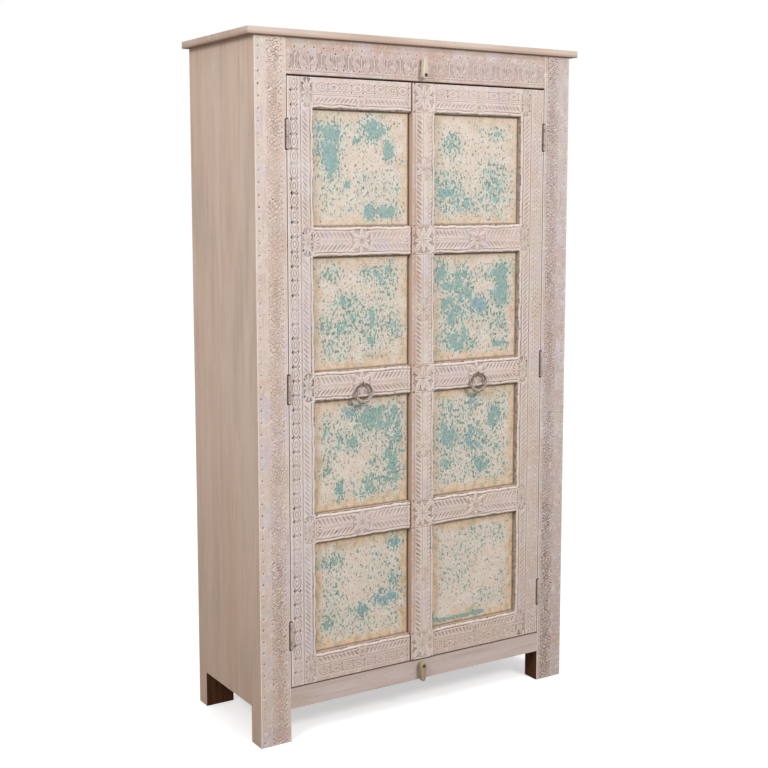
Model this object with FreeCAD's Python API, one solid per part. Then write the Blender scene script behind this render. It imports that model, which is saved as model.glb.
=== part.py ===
import FreeCAD, Part
import math
import os

from FreeCAD import Vector

# A two-door armoire of whitewashed wood, in millimetres.
# X runs to the right as seen from the front, Y runs to the back and Z runs up.
# The origin is the middle of the whole footprint, on the floor.

# Case
height = 1830.0
case_width = 995.0
case_depth = 385.0
top_thick = 18.0
side_overhang = 21.0
front_overhang = 10.0
arris = 1.5

# Posts, which run down to the floor as legs
front_post_width = 88.0
front_post_depth = 55.0
back_post_width = 82.0
back_post_depth = 47.0

# Rails between the front posts
header_height = 90.0
bottom_rail_height = 54.0
bottom_rail_lift = 89.0
case_tenon_length = 40.0
case_tenon_thick = 12.0
case_tenon_shoulder = 12.0

# Sides
side_thick = 20.0
side_lift = 98.0
side_board_count = 3
side_rail_thick = 25.0
top_side_rail_height = 60.0

# Back
back_board_thick = 9.0
back_board_count = 5
back_rail_thick = 22.0
top_back_rail_height = 70.0

# Floor and shelves
floor_thick = 18.0
shelf_thick = 18.0
shelf_names = ("lower_shelf", "middle_shelf", "upper_shelf")
cleat_width = 20.0
cleat_height = 25.0

# Doors
door_thick = 34.0
door_side_gap = 2.0
door_head_gap = 5.0
door_foot_gap = 4.5
meeting_gap = 3.0
meeting_stile_width = 72.0
meeting_stile_proud = 4.0
left_hinge_stile_width = 75.0
right_hinge_stile_width = 81.0
back_stile_width = 50.0
door_rail_height = 77.0
panel_recess = 14.0
panel_thick = 8.0
groove_depth = 8.0
panel_slack = 1.0
tenon_length = 35.0
tenon_shoulder = 12.0
bead_radius = 4.0
rail_names = ("bottom_rail", "lower_rail", "ring_rail", "upper_rail", "top_rail")
panel_names = ("bottom_panel", "lower_panel", "upper_panel", "top_panel")
ring_rail_number = 2

# Stop batten behind the header
stop_gap = 0.5
stop_thick = 18.0
stop_drop = 12.0
stop_lap = 20.0

# Butt hinges, placed by shares of the door's height
hinge_height = 72.0
leaf_thick = 2.0
leaf_width = 25.0
knuckle_radius = 5.0
knuckle_count = 5
knuckle_gap = 0.3
hinge_pin_radius = 2.4
hinge_pin_fit = 0.05
pin_proud = 1.0
barrel_sides = 12
notch_clearance = 0.5
notch_end = 3.0
left_hinge_shares = (0.088, 0.500, 0.909)
right_hinge_shares = (0.077, 0.507, 0.916)

# Ring pulls
ring_radius = 24.0
ring_thin_radius = 3.0
ring_thick_radius = 5.0
ring_thick_turn = math.radians(210.0)
ring_taper_turn = math.radians(20.0)
ring_twist = math.radians(360.0)
ring_strand_depth = 0.8
ring_steps = 36
eye_steps = 14
wire_sides = 8
eye_radius = 5.0
eye_wire_radius = 1.6
eye_play = 0.4
eye_shank_radius = 1.8
eye_shank_depth = 16.0
eye_shank_fit = 0.05
left_pull_offset = -6.0
right_pull_offset = 0.0
rosette_radius = 27.0
rosette_proud = 2.5
rosette_sides = 24

# Turn buttons, stored clear of the doors
button_offset = -5.0
button_end_radius = 10.0
button_nose_radius = 6.5
button_reach = 44.0
button_thick = 14.0
button_edge_bevel = 1.5
button_boss_radius = 8.0
button_boss_height = 5.5
button_boss_sides = 16
button_play = 0.3
top_screw_lift = 15.0
bottom_screw_drop = 12.0
screw_radius = 2.5
screw_fit = 0.05
screw_depth = 22.0
screw_head_radius = 5.0
screw_head_height = 2.5
screw_head_front_radius = 3.2
screw_slot_width = 1.0
screw_slot_depth = 1.2

# Every cut runs past its faces by this much
overrun = 1.0

# Two places nearer to each other than this are the same place
same_place = 1e-6

# Places worked out from the sizes above
front_reach = button_boss_height + button_thick + button_play + screw_head_height
front = front_reach - (case_depth + front_reach) / 2
back = front + case_depth
half_case = case_width / 2
top_foot = height - top_thick
front_post_in = half_case - front_post_width
back_post_in = half_case - back_post_width
side_in = half_case - side_thick
opening_top = top_foot - header_height
opening_foot = bottom_rail_lift + bottom_rail_height
case_rail_thick = door_thick + stop_gap
back_board_in = back - back_board_thick
back_rail_in = back_board_in - back_rail_thick
front_post_back = front + front_post_depth
back_post_front = back - back_post_depth
floor_foot = opening_foot - floor_thick
door_foot = opening_foot + door_foot_gap
door_top = opening_top - door_head_gap
door_height = door_top - door_foot
panel_count = len(panel_names)
panel_height = (door_height - len(rail_names) * door_rail_height) / panel_count
panel_front = front + panel_recess
panel_back = panel_front + panel_thick
door_back = front + door_thick
right_meeting_edge = -meeting_stile_width / 2
left_meeting_edge = right_meeting_edge - meeting_gap
hinge_edge = front_post_in - door_side_gap
pin_x = front_post_in - door_side_gap / 2
pin_y = front - pin_proud
hinge_stile_widths = {-1: left_hinge_stile_width, 1: right_hinge_stile_width}
hinge_shares = {-1: left_hinge_shares, 1: right_hinge_shares}
side_names = {-1: "left", 1: "right"}
eye_y = front - rosette_proud - eye_play - eye_wire_radius - eye_radius


def save(node, *solids):
    shape = solids[0] if len(solids) == 1 else Part.makeCompound(list(solids))
    shape.exportStep("parts/%s.step" % node)


def block(x, y, z):
    """A board between two places along each axis, given in either order."""
    low = Vector(min(x), min(y), min(z))
    return Part.makeBox(abs(x[1] - x[0]), abs(y[1] - y[0]), abs(z[1] - z[0]), low)


def edges_along(shape, axis, x=None, y=None, z=None):
    """The straight edges that run along an axis through the places that are given."""
    found = []
    for edge in shape.Edges:
        middle = edge.CenterOfMass
        run = edge.Vertexes[-1].Point - edge.Vertexes[0].Point
        near = run.cross(axis).Length < same_place * run.Length
        for wanted, is_at in ((x, middle.x), (y, middle.y), (z, middle.z)):
            near = near and (wanted is None or abs(wanted - is_at) < same_place)
        if near:
            found.append(edge)
    return found


def corners(centre, across, up, radius, sides, turn=0.0):
    """The corners of a regular polygon in the plane of two directions."""
    step = 2 * math.pi / sides
    angles = [turn + number * step for number in range(sides)]
    return [centre + (across * math.cos(a) + up * math.sin(a)) * radius for a in angles]


def polygon(points):
    return Part.Face(Part.makePolygon(points + points[:1]))


def closed_bar(sections):
    """A bar bent round until its ends meet, skinned in triangles over its sections."""
    faces = []
    for number, section in enumerate(sections):
        previous = sections[number - 1]
        for corner, point in enumerate(section):
            faces.append(polygon([previous[corner - 1], previous[corner], point]))
            faces.append(polygon([previous[corner - 1], point, section[corner - 1]]))
    bar = Part.makeSolid(Part.makeShell(faces))
    return bar if bar.Volume > 0 else bar.reversed()


def hinge_heights(side):
    return [door_foot + share * door_height for share in hinge_shares[side]]


def barrel(x, radius, low, high):
    """A knuckle or a pin, many-sided, on the line that a door turns about."""
    centre = Vector(x, pin_y, low)
    around = corners(centre, Vector(1, 0, 0), Vector(0, 1, 0), radius, barrel_sides)
    return polygon(around).extrude(Vector(0, 0, high - low))


def hinge_leaf(side, middle, on_door):
    """One leaf of a butt hinge, let into the wood, with every second knuckle.

    The pin is fixed in the frame's leaf and turns in the knuckles of the door's leaf.
    """
    toward = -side if on_door else side
    x = side * pin_x
    plate_x = (x + toward * door_side_gap / 2, x + toward * (door_side_gap / 2 + leaf_thick))
    foot = middle - hinge_height / 2
    step = hinge_height / knuckle_count
    plate_y = pin_y + knuckle_radius + notch_clearance
    leaf = block(plate_x, (plate_y, pin_y + leaf_width), (foot, foot + hinge_height))
    for number in range(1 if on_door else 0, knuckle_count, 2):
        low = foot + number * step + knuckle_gap / 2
        high = foot + (number + 1) * step - knuckle_gap / 2
        strap = block(plate_x, (pin_y, plate_y), (low, high))
        leaf = leaf.fuse(strap).fuse(barrel(x, knuckle_radius, low, high))
    if on_door:
        bore_radius = hinge_pin_radius + hinge_pin_fit
        leaf = leaf.cut(Part.makeCylinder(bore_radius, hinge_height, Vector(x, pin_y, foot)))
    else:
        low = foot + knuckle_gap / 2
        leaf = leaf.fuse(barrel(x, hinge_pin_radius, low, low + hinge_height - knuckle_gap))
    return leaf.removeSplitter()


def hinge_cut(side, middle, on_door):
    """What a hinge takes out of the post or the door: the leaf's seat and the knuckles' notch."""
    toward = -side if on_door else side
    x = side * pin_x
    seat_x = (x, x + toward * (door_side_gap / 2 + leaf_thick))
    foot = middle - hinge_height / 2
    top = foot + hinge_height
    room = knuckle_radius + notch_clearance
    seat = block(seat_x, (front - overrun, pin_y + leaf_width), (foot, top))
    notch = block(
        (x, x + toward * room), (front - overrun, pin_y + room), (foot - notch_end, top + notch_end)
    )
    return seat.fuse(notch)


def case_tenon(side, inner, rail_y, low, high):
    """The tenon at one end of a rail between two posts, and the mortise of the same size."""
    middle = (rail_y[0] + rail_y[1]) / 2
    return block(
        (side * inner, side * (inner + case_tenon_length)),
        (middle - case_tenon_thick / 2, middle + case_tenon_thick / 2),
        (low + case_tenon_shoulder, high - case_tenon_shoulder),
    )


header_y = (front, front + case_rail_thick)
back_rail_y = (back_rail_in, back_board_in)
front_rail_heights = ((opening_top, top_foot), (bottom_rail_lift, opening_foot))
back_rail_heights = ((top_foot - top_back_rail_height, top_foot), (bottom_rail_lift, floor_foot))


def case_rail(inner, rail_y, low, high, screw_height=None):
    rail = block((-inner, inner), rail_y, (low, high))
    for side in (-1, 1):
        rail = rail.fuse(case_tenon(side, inner, rail_y, low, high))
    if screw_height is not None:
        rail = rail.cut(screw_hole(screw_height))
    return rail.removeSplitter()


def front_post(side):
    post = block(
        (side * front_post_in, side * half_case), (front, front_post_back), (0, top_foot)
    )
    corner = edges_along(post, Vector(0, 0, 1), x=side * half_case, y=front)
    post = post.makeFillet(arris, corner)
    for low, high in front_rail_heights:
        post = post.cut(case_tenon(side, front_post_in, header_y, low, high))
    for middle in hinge_heights(side):
        post = post.cut(hinge_cut(side, middle, False))
    return post


def back_post(side):
    post = block(
        (side * back_post_in, side * half_case), (back_post_front, back), (0, top_foot)
    )
    for low, high in back_rail_heights:
        post = post.cut(case_tenon(side, back_post_in, back_rail_y, low, high))
    return post


def top_board():
    half = half_case + side_overhang
    board = block((-half, half), (front - front_overhang, back), (top_foot, height))
    edges = edges_along(board, Vector(1, 0, 0), y=front - front_overhang)
    edges += edges_along(board, Vector(0, 1, 0), z=height)
    return board.makeFillet(arris, edges)


def side_boards(side):
    width = (back_post_front - front_post_back) / side_board_count
    boards = []
    for number in range(side_board_count):
        low = front_post_back + number * width
        boards.append(
            block((side * side_in, side * half_case), (low, low + width), (side_lift, top_foot))
        )
    return boards


def side_rails(side):
    x = (side * side_in, side * (side_in - side_rail_thick))
    y = (front_post_back, back_post_front)
    return [
        block(x, y, (side_lift, floor_foot)),
        block(x, y, (top_foot - top_side_rail_height, top_foot)),
    ]


def back_boards():
    width = 2 * back_post_in / back_board_count
    boards = []
    for number in range(back_board_count):
        low = number * width - back_post_in
        boards.append(
            block((low, low + width), (back_board_in, back), (bottom_rail_lift, top_foot))
        )
    return boards


def inside_board(low, high, front_place):
    """A floor or shelf board that reaches the side boards and goes round the posts."""
    board = block((-side_in, side_in), (front_post_back, back_post_front), (low, high))
    tongue = block((-back_post_in, back_post_in), (back_post_front, back_board_in), (low, high))
    board = board.fuse(tongue)
    if front_place < front_post_back:
        lip = block((-front_post_in, front_post_in), (front_place, front_post_back), (low, high))
        board = board.fuse(lip)
    return board.removeSplitter()


def shelf_tops():
    pitch = (opening_top - opening_foot) / (len(shelf_names) + 1)
    return [opening_foot + pitch * (number + 1) for number in range(len(shelf_names))]


def cleats(side):
    return [
        block(
            (side * side_in, side * (side_in - cleat_width)),
            (front_post_back, back_post_front),
            (top - shelf_thick - cleat_height, top - shelf_thick),
        )
        for top in shelf_tops()
    ]


def door_stop():
    y = front + case_rail_thick
    return block(
        (-front_post_in, front_post_in),
        (y, y + stop_thick),
        (opening_top - stop_drop, opening_top + stop_lap),
    )


def rail_foot(number):
    return door_foot + number * (door_rail_height + panel_height)


def panel_foot(number):
    return rail_foot(number) + door_rail_height


def door_tenon(edge, toward, number):
    """A rail's tenon, and its mortise, going into a stile from the stile's inner edge."""
    low = rail_foot(number)
    return block(
        (edge, edge + toward * tenon_length),
        (panel_front, panel_back),
        (low + tenon_shoulder, low + door_rail_height - tenon_shoulder),
    )


def stile_groove(edge, toward):
    """The groove that holds the panels along a stile's inner edge."""
    return block(
        (edge, edge + toward * groove_depth),
        (panel_front, panel_back),
        (rail_foot(0), rail_foot(len(rail_names) - 1) + door_rail_height),
    )


def stile_bead(edge, toward, face, number):
    """What is planed off a stile's arris beside one panel to leave a round bead."""
    x = (edge, edge + toward * bead_radius)
    z = (panel_foot(number), panel_foot(number) + panel_height)
    centre = Vector(x[1], face + bead_radius, z[0])
    corner = block(x, (face, face + bead_radius), z)
    return corner.cut(Part.makeCylinder(bead_radius, panel_height, centre))


def hinge_stile(side):
    outer = side * hinge_edge
    inner = side * (hinge_edge - hinge_stile_widths[side])
    stile = block((outer, inner), (front, door_back), (door_foot, door_top))
    stile = stile.cut(stile_groove(inner, side))
    for number in range(len(rail_names)):
        stile = stile.cut(door_tenon(inner, side, number))
    for number in range(panel_count):
        stile = stile.cut(stile_bead(inner, side, front, number))
    for middle in hinge_heights(side):
        stile = stile.cut(hinge_cut(side, middle, True))
    return stile


def meeting_stile():
    """The right door's wide stile, which stands a little proud and holds tenons and panels."""
    inner = -right_meeting_edge
    face = front - meeting_stile_proud
    stile = block((right_meeting_edge, inner), (face, door_back), (door_foot, door_top))
    corner = edges_along(stile, Vector(0, 0, 1), x=right_meeting_edge, y=face)
    stile = stile.makeFillet(arris, corner)
    stile = stile.cut(stile_groove(inner, -1))
    for number in range(len(rail_names)):
        stile = stile.cut(door_tenon(inner, -1, number))
    for number in range(panel_count):
        stile = stile.cut(stile_bead(inner, -1, face, number))
    return stile


def back_stile():
    """The left door's meeting stile, behind its panels and rail ends."""
    x = (left_meeting_edge - back_stile_width, left_meeting_edge)
    return block(x, (panel_back, door_back), (door_foot, door_top))


def rail_ends(side):
    outer = side * (hinge_edge - hinge_stile_widths[side])
    inner = left_meeting_edge if side < 0 else -right_meeting_edge
    return outer, inner


def rosette_place(side, number):
    outer, inner = rail_ends(side)
    offset = left_pull_offset if side < 0 else right_pull_offset
    return (outer + inner) / 2 + offset, rail_foot(number) + door_rail_height / 2


def rosette(side, number):
    """A low boss in the middle of a rail, over which the rosette is carved."""
    x, z = rosette_place(side, number)
    centre = Vector(x, front - rosette_proud, z)
    around = corners(centre, Vector(1, 0, 0), Vector(0, 0, 1), rosette_radius, rosette_sides)
    return polygon(around).extrude(Vector(0, rosette_proud, 0))


def door_rail(side, number):
    outer, inner = rail_ends(side)
    low = rail_foot(number)
    high = low + door_rail_height
    rail = block((outer, inner), (front, door_back), (low, high))
    along = Vector(1, 0, 0)
    beads = []
    grooves = []
    if number > 0:
        beads += edges_along(rail, along, y=front, z=low)
        grooves.append((low, low + groove_depth))
    if number < len(rail_names) - 1:
        beads += edges_along(rail, along, y=front, z=high)
        grooves.append((high - groove_depth, high))
    rail = rail.makeFillet(bead_radius, beads)
    for z in grooves:
        rail = rail.cut(block((outer, inner), (panel_front, panel_back), z))
    rail = rail.fuse(door_tenon(outer, side, number))
    if side > 0:
        rail = rail.fuse(door_tenon(inner, -1, number))
    else:
        lap = block(
            (inner - back_stile_width, inner + overrun),
            (panel_back, door_back + overrun),
            (low - overrun, high + overrun),
        )
        rail = rail.cut(lap)
    if 0 < number < len(rail_names) - 1:
        rail = rail.fuse(rosette(side, number))
    if number == ring_rail_number:
        rail = rail.cut(eye_hole(side))
    return rail.removeSplitter()


def door_panel(side, number):
    outer, inner = rail_ends(side)
    reach = groove_depth - panel_slack
    low = panel_foot(number)
    far = inner if side < 0 else inner - reach
    return block(
        (outer + side * reach, far),
        (panel_front, panel_back),
        (low - reach, low + panel_height + reach),
    )


def eye_hole(side):
    x, z = rosette_place(side, ring_rail_number)
    depth = eye_shank_depth + rosette_proud + overrun
    return Part.makeCylinder(
        eye_shank_radius + eye_shank_fit,
        depth,
        Vector(x, front - rosette_proud - overrun, z),
        Vector(0, 1, 0),
    )


def ring_eye(side):
    """A wire eye on a shank that is driven into the rail through the rosette."""
    x, z = rosette_place(side, ring_rail_number)
    sections = []
    for spoke in corners(Vector(0, 0, 0), Vector(0, 1, 0), Vector(0, 0, 1), 1.0, eye_steps):
        centre = Vector(x, eye_y, z) + spoke * eye_radius
        sections.append(corners(centre, spoke, Vector(1, 0, 0), eye_wire_radius, wire_sides))
    loop = closed_bar(sections)
    start = eye_y + eye_radius
    across, up = Vector(1, 0, 0), Vector(0, 0, 1)
    around = corners(Vector(x, start, z), across, up, eye_shank_radius, wire_sides)
    shank = polygon(around).extrude(Vector(0, front + eye_shank_depth - start, 0))
    return loop.fuse(shank).removeSplitter()


def ring(side):
    """A ring that hangs from its eye, thin at the top, with a thick grip twisted like a rope."""
    x, z = rosette_place(side, ring_rail_number)
    middle = Vector(x, eye_y, z - ring_radius)
    outward = Vector(0, 1, 0)
    sections = []
    for step in range(ring_steps):
        from_foot = 2 * math.pi * step / ring_steps - math.pi
        spoke = Vector(math.sin(from_foot), 0, -math.cos(from_foot))
        swell = (ring_thick_turn / 2 - abs(from_foot)) / ring_taper_turn
        swell = min(max(swell, 0.0), 1.0)
        along_grip = min(max(from_foot / ring_thick_turn + 1 / 2, 0.0), 1.0)
        radius = ring_thin_radius + (ring_thick_radius - ring_thin_radius) * swell
        centre = middle + spoke * ring_radius
        turn = ring_twist * along_grip
        ridges = corners(centre, spoke, outward, radius, wire_sides, turn)
        valleys = corners(
            centre, spoke, outward, radius - ring_strand_depth * swell, wire_sides, turn
        )
        sections.append([(ridges, valleys)[number % 2][number] for number in range(wire_sides)])
    return closed_bar(sections)


def screw_hole(z):
    return Part.makeCylinder(
        screw_radius + screw_fit,
        screw_depth + overrun,
        Vector(button_offset, front - overrun, z),
        Vector(0, 1, 0),
    )


def button_screw(z):
    """The round-headed screw on which a turn button turns."""
    shoulder = front - button_boss_height - button_thick - button_play
    inward = Vector(0, 1, 0)
    shank = Part.makeCylinder(
        screw_radius, front + screw_depth - shoulder, Vector(button_offset, shoulder, z), inward
    )
    head_front = Vector(button_offset, shoulder - screw_head_height, z)
    head = Part.makeCone(
        screw_head_front_radius, screw_head_radius, screw_head_height, head_front, inward
    )
    slot = block(
        (button_offset - screw_head_radius, button_offset + screw_head_radius),
        (head_front.y - overrun, head_front.y + screw_slot_depth),
        (z - screw_slot_width / 2, z + screw_slot_width / 2),
    )
    return shank.fuse(head.cut(slot)).removeSplitter()


def turn_button(z, toward):
    """A tapered wooden button on a boss, with its nose pointing up (1) or down (-1)."""
    back_face = front - button_boss_height
    run = button_reach - button_nose_radius
    lean = math.asin((button_end_radius - button_nose_radius) / run)
    cos_lean = math.cos(lean)
    sin_lean = math.sin(lean)

    def place(across, along):
        return Vector(button_offset + across, back_face, z + toward * along)

    end_x = button_end_radius * cos_lean
    end_z = button_end_radius * sin_lean
    nose_x = button_nose_radius * cos_lean
    nose_z = run + button_nose_radius * sin_lean
    outline = Part.Wire(
        [
            Part.Arc(
                place(-end_x, end_z), place(0, -button_end_radius), place(end_x, end_z)
            ).toShape(),
            Part.LineSegment(place(end_x, end_z), place(nose_x, nose_z)).toShape(),
            Part.Arc(
                place(nose_x, nose_z), place(0, button_reach), place(-nose_x, nose_z)
            ).toShape(),
            Part.LineSegment(place(-nose_x, nose_z), place(-end_x, end_z)).toShape(),
        ]
    )
    body = Part.Face(outline).extrude(Vector(0, -button_thick, 0))
    face = back_face - button_thick
    rim = [edge for edge in body.Edges if abs(edge.CenterOfMass.y - face) < same_place]
    body = body.makeChamfer(button_edge_bevel, rim)
    centre = Vector(button_offset, back_face, z)
    across, up = Vector(1, 0, 0), Vector(0, 0, 1)
    around = corners(centre, across, up, button_boss_radius, button_boss_sides)
    boss = polygon(around).extrude(Vector(0, button_boss_height - button_play, 0))
    bore = Part.makeCylinder(
        screw_radius + screw_fit,
        button_thick + button_boss_height + 2 * overrun,
        Vector(button_offset, face - overrun, z),
        Vector(0, 1, 0),
    )
    return body.fuse(boss).cut(bore).removeSplitter()


def make_case():
    top_screw = opening_top + top_screw_lift
    bottom_screw = opening_foot - bottom_screw_drop
    (header_low, header_high), (foot_low, foot_high) = front_rail_heights
    save("top_board", top_board())
    save("header_rail", case_rail(front_post_in, header_y, header_low, header_high, top_screw))
    save("bottom_rail", case_rail(front_post_in, header_y, foot_low, foot_high, bottom_screw))
    for node, (low, high) in zip(("top_back_rail", "bottom_back_rail"), back_rail_heights):
        save(node, case_rail(back_post_in, back_rail_y, low, high))
    for side, name in side_names.items():
        save("%s_front_post" % name, front_post(side))
        save("%s_back_post" % name, back_post(side))
        save("%s_side_boards" % name, *side_boards(side))
        save("%s_side_rails" % name, *side_rails(side))
        save("%s_shelf_cleats" % name, *cleats(side))
    save("back_boards", *back_boards())
    save("floor_board", inside_board(floor_foot, opening_foot, front + case_rail_thick))
    for node, top in zip(shelf_names, shelf_tops()):
        save(node, inside_board(top - shelf_thick, top, front_post_back))
    save("door_stop", door_stop())
    save("turn_button_screws", button_screw(top_screw), button_screw(bottom_screw))
    save("top_turn_button", turn_button(top_screw, 1))
    save("bottom_turn_button", turn_button(bottom_screw, -1))


def make_hinges(side, name):
    heights = hinge_heights(side)
    save("%s_hinge_frame_leaves" % name, *[hinge_leaf(side, z, False) for z in heights])
    save("%s_hinge_door_leaves" % name, *[hinge_leaf(side, z, True) for z in heights])


def make_door(side, name):
    save("%s_hinge_stile" % name, hinge_stile(side))
    save("%s_meeting_stile" % name, back_stile() if side < 0 else meeting_stile())
    for number, rail in enumerate(rail_names):
        save("%s_door_%s" % (name, rail), door_rail(side, number))
    for number, panel in enumerate(panel_names):
        save("%s_door_%s" % (name, panel), door_panel(side, number))
    save("%s_ring_eye" % name, ring_eye(side))
    save("%s_ring" % name, ring(side))


os.makedirs("parts", exist_ok=True)
make_case()
for door_side, door_name in side_names.items():
    make_hinges(door_side, door_name)
    make_door(door_side, door_name)
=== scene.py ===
import functools
from math import asin, atan2, cos, hypot, pi, radians, sin

import bpy
import numpy as np
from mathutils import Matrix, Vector


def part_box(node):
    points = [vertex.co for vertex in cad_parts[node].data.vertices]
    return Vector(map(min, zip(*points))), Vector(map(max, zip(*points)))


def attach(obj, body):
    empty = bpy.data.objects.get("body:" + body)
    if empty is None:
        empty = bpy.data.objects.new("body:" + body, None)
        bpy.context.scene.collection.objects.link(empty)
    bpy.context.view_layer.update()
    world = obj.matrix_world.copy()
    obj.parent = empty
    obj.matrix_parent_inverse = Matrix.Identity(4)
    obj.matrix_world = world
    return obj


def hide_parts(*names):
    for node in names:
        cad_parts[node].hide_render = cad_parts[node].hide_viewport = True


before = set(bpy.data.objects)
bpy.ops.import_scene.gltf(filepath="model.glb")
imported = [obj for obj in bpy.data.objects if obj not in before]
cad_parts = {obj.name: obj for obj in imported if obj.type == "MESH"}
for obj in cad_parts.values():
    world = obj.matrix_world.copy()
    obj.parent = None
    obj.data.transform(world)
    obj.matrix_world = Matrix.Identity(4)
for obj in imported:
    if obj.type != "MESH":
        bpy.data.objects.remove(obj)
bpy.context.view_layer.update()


# Front posts
# Two solid uprights that run down to the floor as legs. A running vine is cut down each face
# with gouges, beside a row of deep punched diamonds, and a thin whitewash is rubbed over it.

mm = 0.001
hand = np.random.default_rng(11)
sides = ((-1, "left"), (1, "right"))


def colour(hex_code):
    """A colour as a painter's sRGB hex value, turned to the linear value that Blender takes."""
    parts = [int(hex_code[i : i + 2], 16) / 255 for i in (1, 3, 5)]
    return tuple(p / 12.92 if p <= 0.04045 else ((p + 0.055) / 1.055) ** 2.4 for p in parts) + (1,)


def add(tree, kind, inputs=None, out=None, **settings):
    """Adds a node with its settings and links, and gives back the output that is used. A text
    among its inputs is a hex colour."""
    node = tree.nodes.new("ShaderNode" + kind)
    for name, value in settings.items():
        setattr(node, name, value)
    for name, value in (inputs or {}).items():
        if isinstance(value, bpy.types.NodeSocket):
            tree.links.new(value, node.inputs[name])
        else:
            node.inputs[name].default_value = colour(value) if isinstance(value, str) else value
    return node.outputs[out] if out else next((s for s in node.outputs if s.enabled), None)


def new_finish(name):
    """An empty material, and the function that puts nodes in it."""
    finish = bpy.data.materials.new(name)
    finish.use_nodes = True
    finish.node_tree.nodes.clear()
    return finish, functools.partial(add, finish.node_tree)


def patterns(put, place, grain, *layers):
    """Random patterns, each from how far it is squeezed along the grain, its width in mm and its
    detail, with its roughness and distortion where they aren't the usual ones."""
    made = []
    for squeeze, width, *values in layers:
        scale = [1.0, 1.0, 1.0]
        scale["xyz".index(grain)] = squeeze
        squeezed = put("Mapping", {"Vector": place, "Scale": scale})
        more = dict(zip(("Detail", "Roughness", "Distortion"), values))
        made.append(put("TexNoise", {"Vector": squeezed, "Scale": 1 / (width * mm), **more}))
    return made


def marked(put, *labels):
    """The values that a board's points carry under the labels."""
    return [put("Attribute", out="Fac", attribute_name=label) for label in labels]


def coats(put, ground, *layers):
    """Lays coats of colour over a ground. Each coat is a value and its colour. Between them may
    stand the two ends between which it comes in, its most, and SMOOTHSTEP where it eases in."""
    for cover, *reach, hue in layers:
        if reach:
            start, end, share, ease = (*reach, "LINEAR")[:4]
            cover = {"Value": cover, "From Min": start, "From Max": end, "To Max": share}
            cover = put("MapRange", cover, interpolation_type=ease)
        ground = put("Mix", {0: cover, 6: ground, 7: hue}, data_type="RGBA")
    return ground


def surface(put, ground, rough, relief, strength, depth):
    """Ends a material with its colour, its roughness and a fine relief up to depth mm."""
    bump = put("Bump", {"Height": relief, "Strength": strength, "Distance": depth * mm})
    shader = put("BsdfPrincipled", {"Base Color": ground, "Roughness": rough, "Normal": bump})
    put("OutputMaterial", {"Surface": shader})


def whitewashed_wood(name, grain, wash, tan, hollow_tint, toned, low_share=0.2):
    """Solid wood under a thin rubbed whitewash. The wash lies thick on the high places and thin
    along the grain, where the wood shows through. Places marked pale get wash and a painted
    highlight, and the cuts are darkened, partly stain and partly painted shade. Places
    that a board marks as toned keep an older, warmer wash."""
    finish, put = new_finish(name)
    place = put("TexCoord", out="Object")
    tint, streak, smear, speck = patterns(
        put, place, grain, (1, 70, 3.0), (1 / 12, 6, 6.0, 0.6), (1, 11, 4.0), (1, 3.2, 3.0)
    )
    tints = put("SeparateColor", {"Color": tint.node.outputs["Color"]}).node.outputs
    older, crest, recess = marked(put, "toned", "crest", "recess")
    height = put("SeparateXYZ", {"Vector": place}, out="Z")
    kept = {"Value": smear, "From Min": 0.3, "From Max": 0.7, "To Min": 0.6, "To Max": 1.3}
    recess = put("Math", {0: recess, 1: put("MapRange", kept)}, operation="MULTIPLY", use_clamp=True)
    ground = coats(
        put, wash,
        (tints["Red"], 0.5, 0.62, 0.75, tan),
        (tints["Green"], 0.52, 0.66, 0.7, "#cdc5b6"),
        (tints["Blue"], 0.52, 0.64, 0.7, "#d2c5cb"),
        (older, toned),
        (height, 0.9, 0.1, low_share, "#b08f79"),
        (streak, 0.52, 0.7, 0.4, "SMOOTHSTEP", "#b59684"),
        (smear, 0.5, 0.7, 0.55, "#e8ddd8"),
        (speck, 0.56, 0.7, 0.4, "#a88c7e"),
        # Wash and painted highlight on the raised places, then stain and painted shade in the cuts.
        (crest, 0.0, 1.0, 0.85, "#ecdfd6"),
        (recess, 0.0, 0.7, 0.8, hollow_tint),
        (recess, 0.55, 1.0, 0.9, "#45332a"),
    )
    relief = put("Math", {0: streak, 1: speck}, operation="ADD")
    rough = put("MapRange", {"Value": streak, "To Min": 0.72, "To Max": 0.92})
    surface(put, ground, rough, relief, 0.35, 0.7)
    return finish


def washed_board(name, grain, wash, chalk, bare, outward=None, brown_from=(0.9, 0.1, 0.3)):
    """A thin streaky wash, browner between two heights. Where outward is given, only faces that
    look that way are washed. The rest is bare wood: brown with age on the back, and elsewhere a
    deep red brown, nearly black, which is painted shade over bare wood on faces in shadow."""
    finish, put = new_finish(name)
    place = put("TexCoord", out="Object")
    streak, wide, patch, speck = patterns(
        put, place, grain, (1 / 22, 13, 5.0, 0.55), (1 / 22, 60, 3.0), (1 / 3.5, 105, 5.0, 0.6), (1, 6, 4.0)
    )
    height = put("SeparateXYZ", {"Vector": place}, out="Z")
    ground = coats(
        put, wash,
        (wide, 0.36, 0.64, 1.0, chalk),
        (streak, 0.48, 0.7, 0.36, "SMOOTHSTEP", bare),
        (patch, 0.48, 0.68, 0.36, "SMOOTHSTEP", "#baa795"),
        (patch, 0.46, 0.32, 0.5, "#d2b09e"),
        (height, *brown_from, "#a5846c"),
        (speck, 0.6, 0.72, 0.25, "#94796a"),
    )
    if outward:
        looks = put("TexCoord", out="Normal")
        facing, behind = (
            put("VectorMath", {0: looks, 1: way}, out="Value", operation="DOT_PRODUCT")
            for way in (outward, (0, 1, 0))
        )
        # Painted shade: faces that look neither outward nor back are painted nearly black.
        unlit = coats(put, "#4a250e", (streak, 0.35, 0.65, 1.0, "#683b1a"))
        aged = coats(put, "#563d2b", (streak, 0.35, 0.65, 1.0, "#7f624c"))
        unwashed = coats(put, unlit, (behind, 0.5, 0.6, 1.0, aged))
        ground = coats(put, ground, (facing, 0.6, 0.5, 1.0, unwashed))
    surface(put, ground, 0.8, streak, 0.3, 0.7)
    return finish


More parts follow.
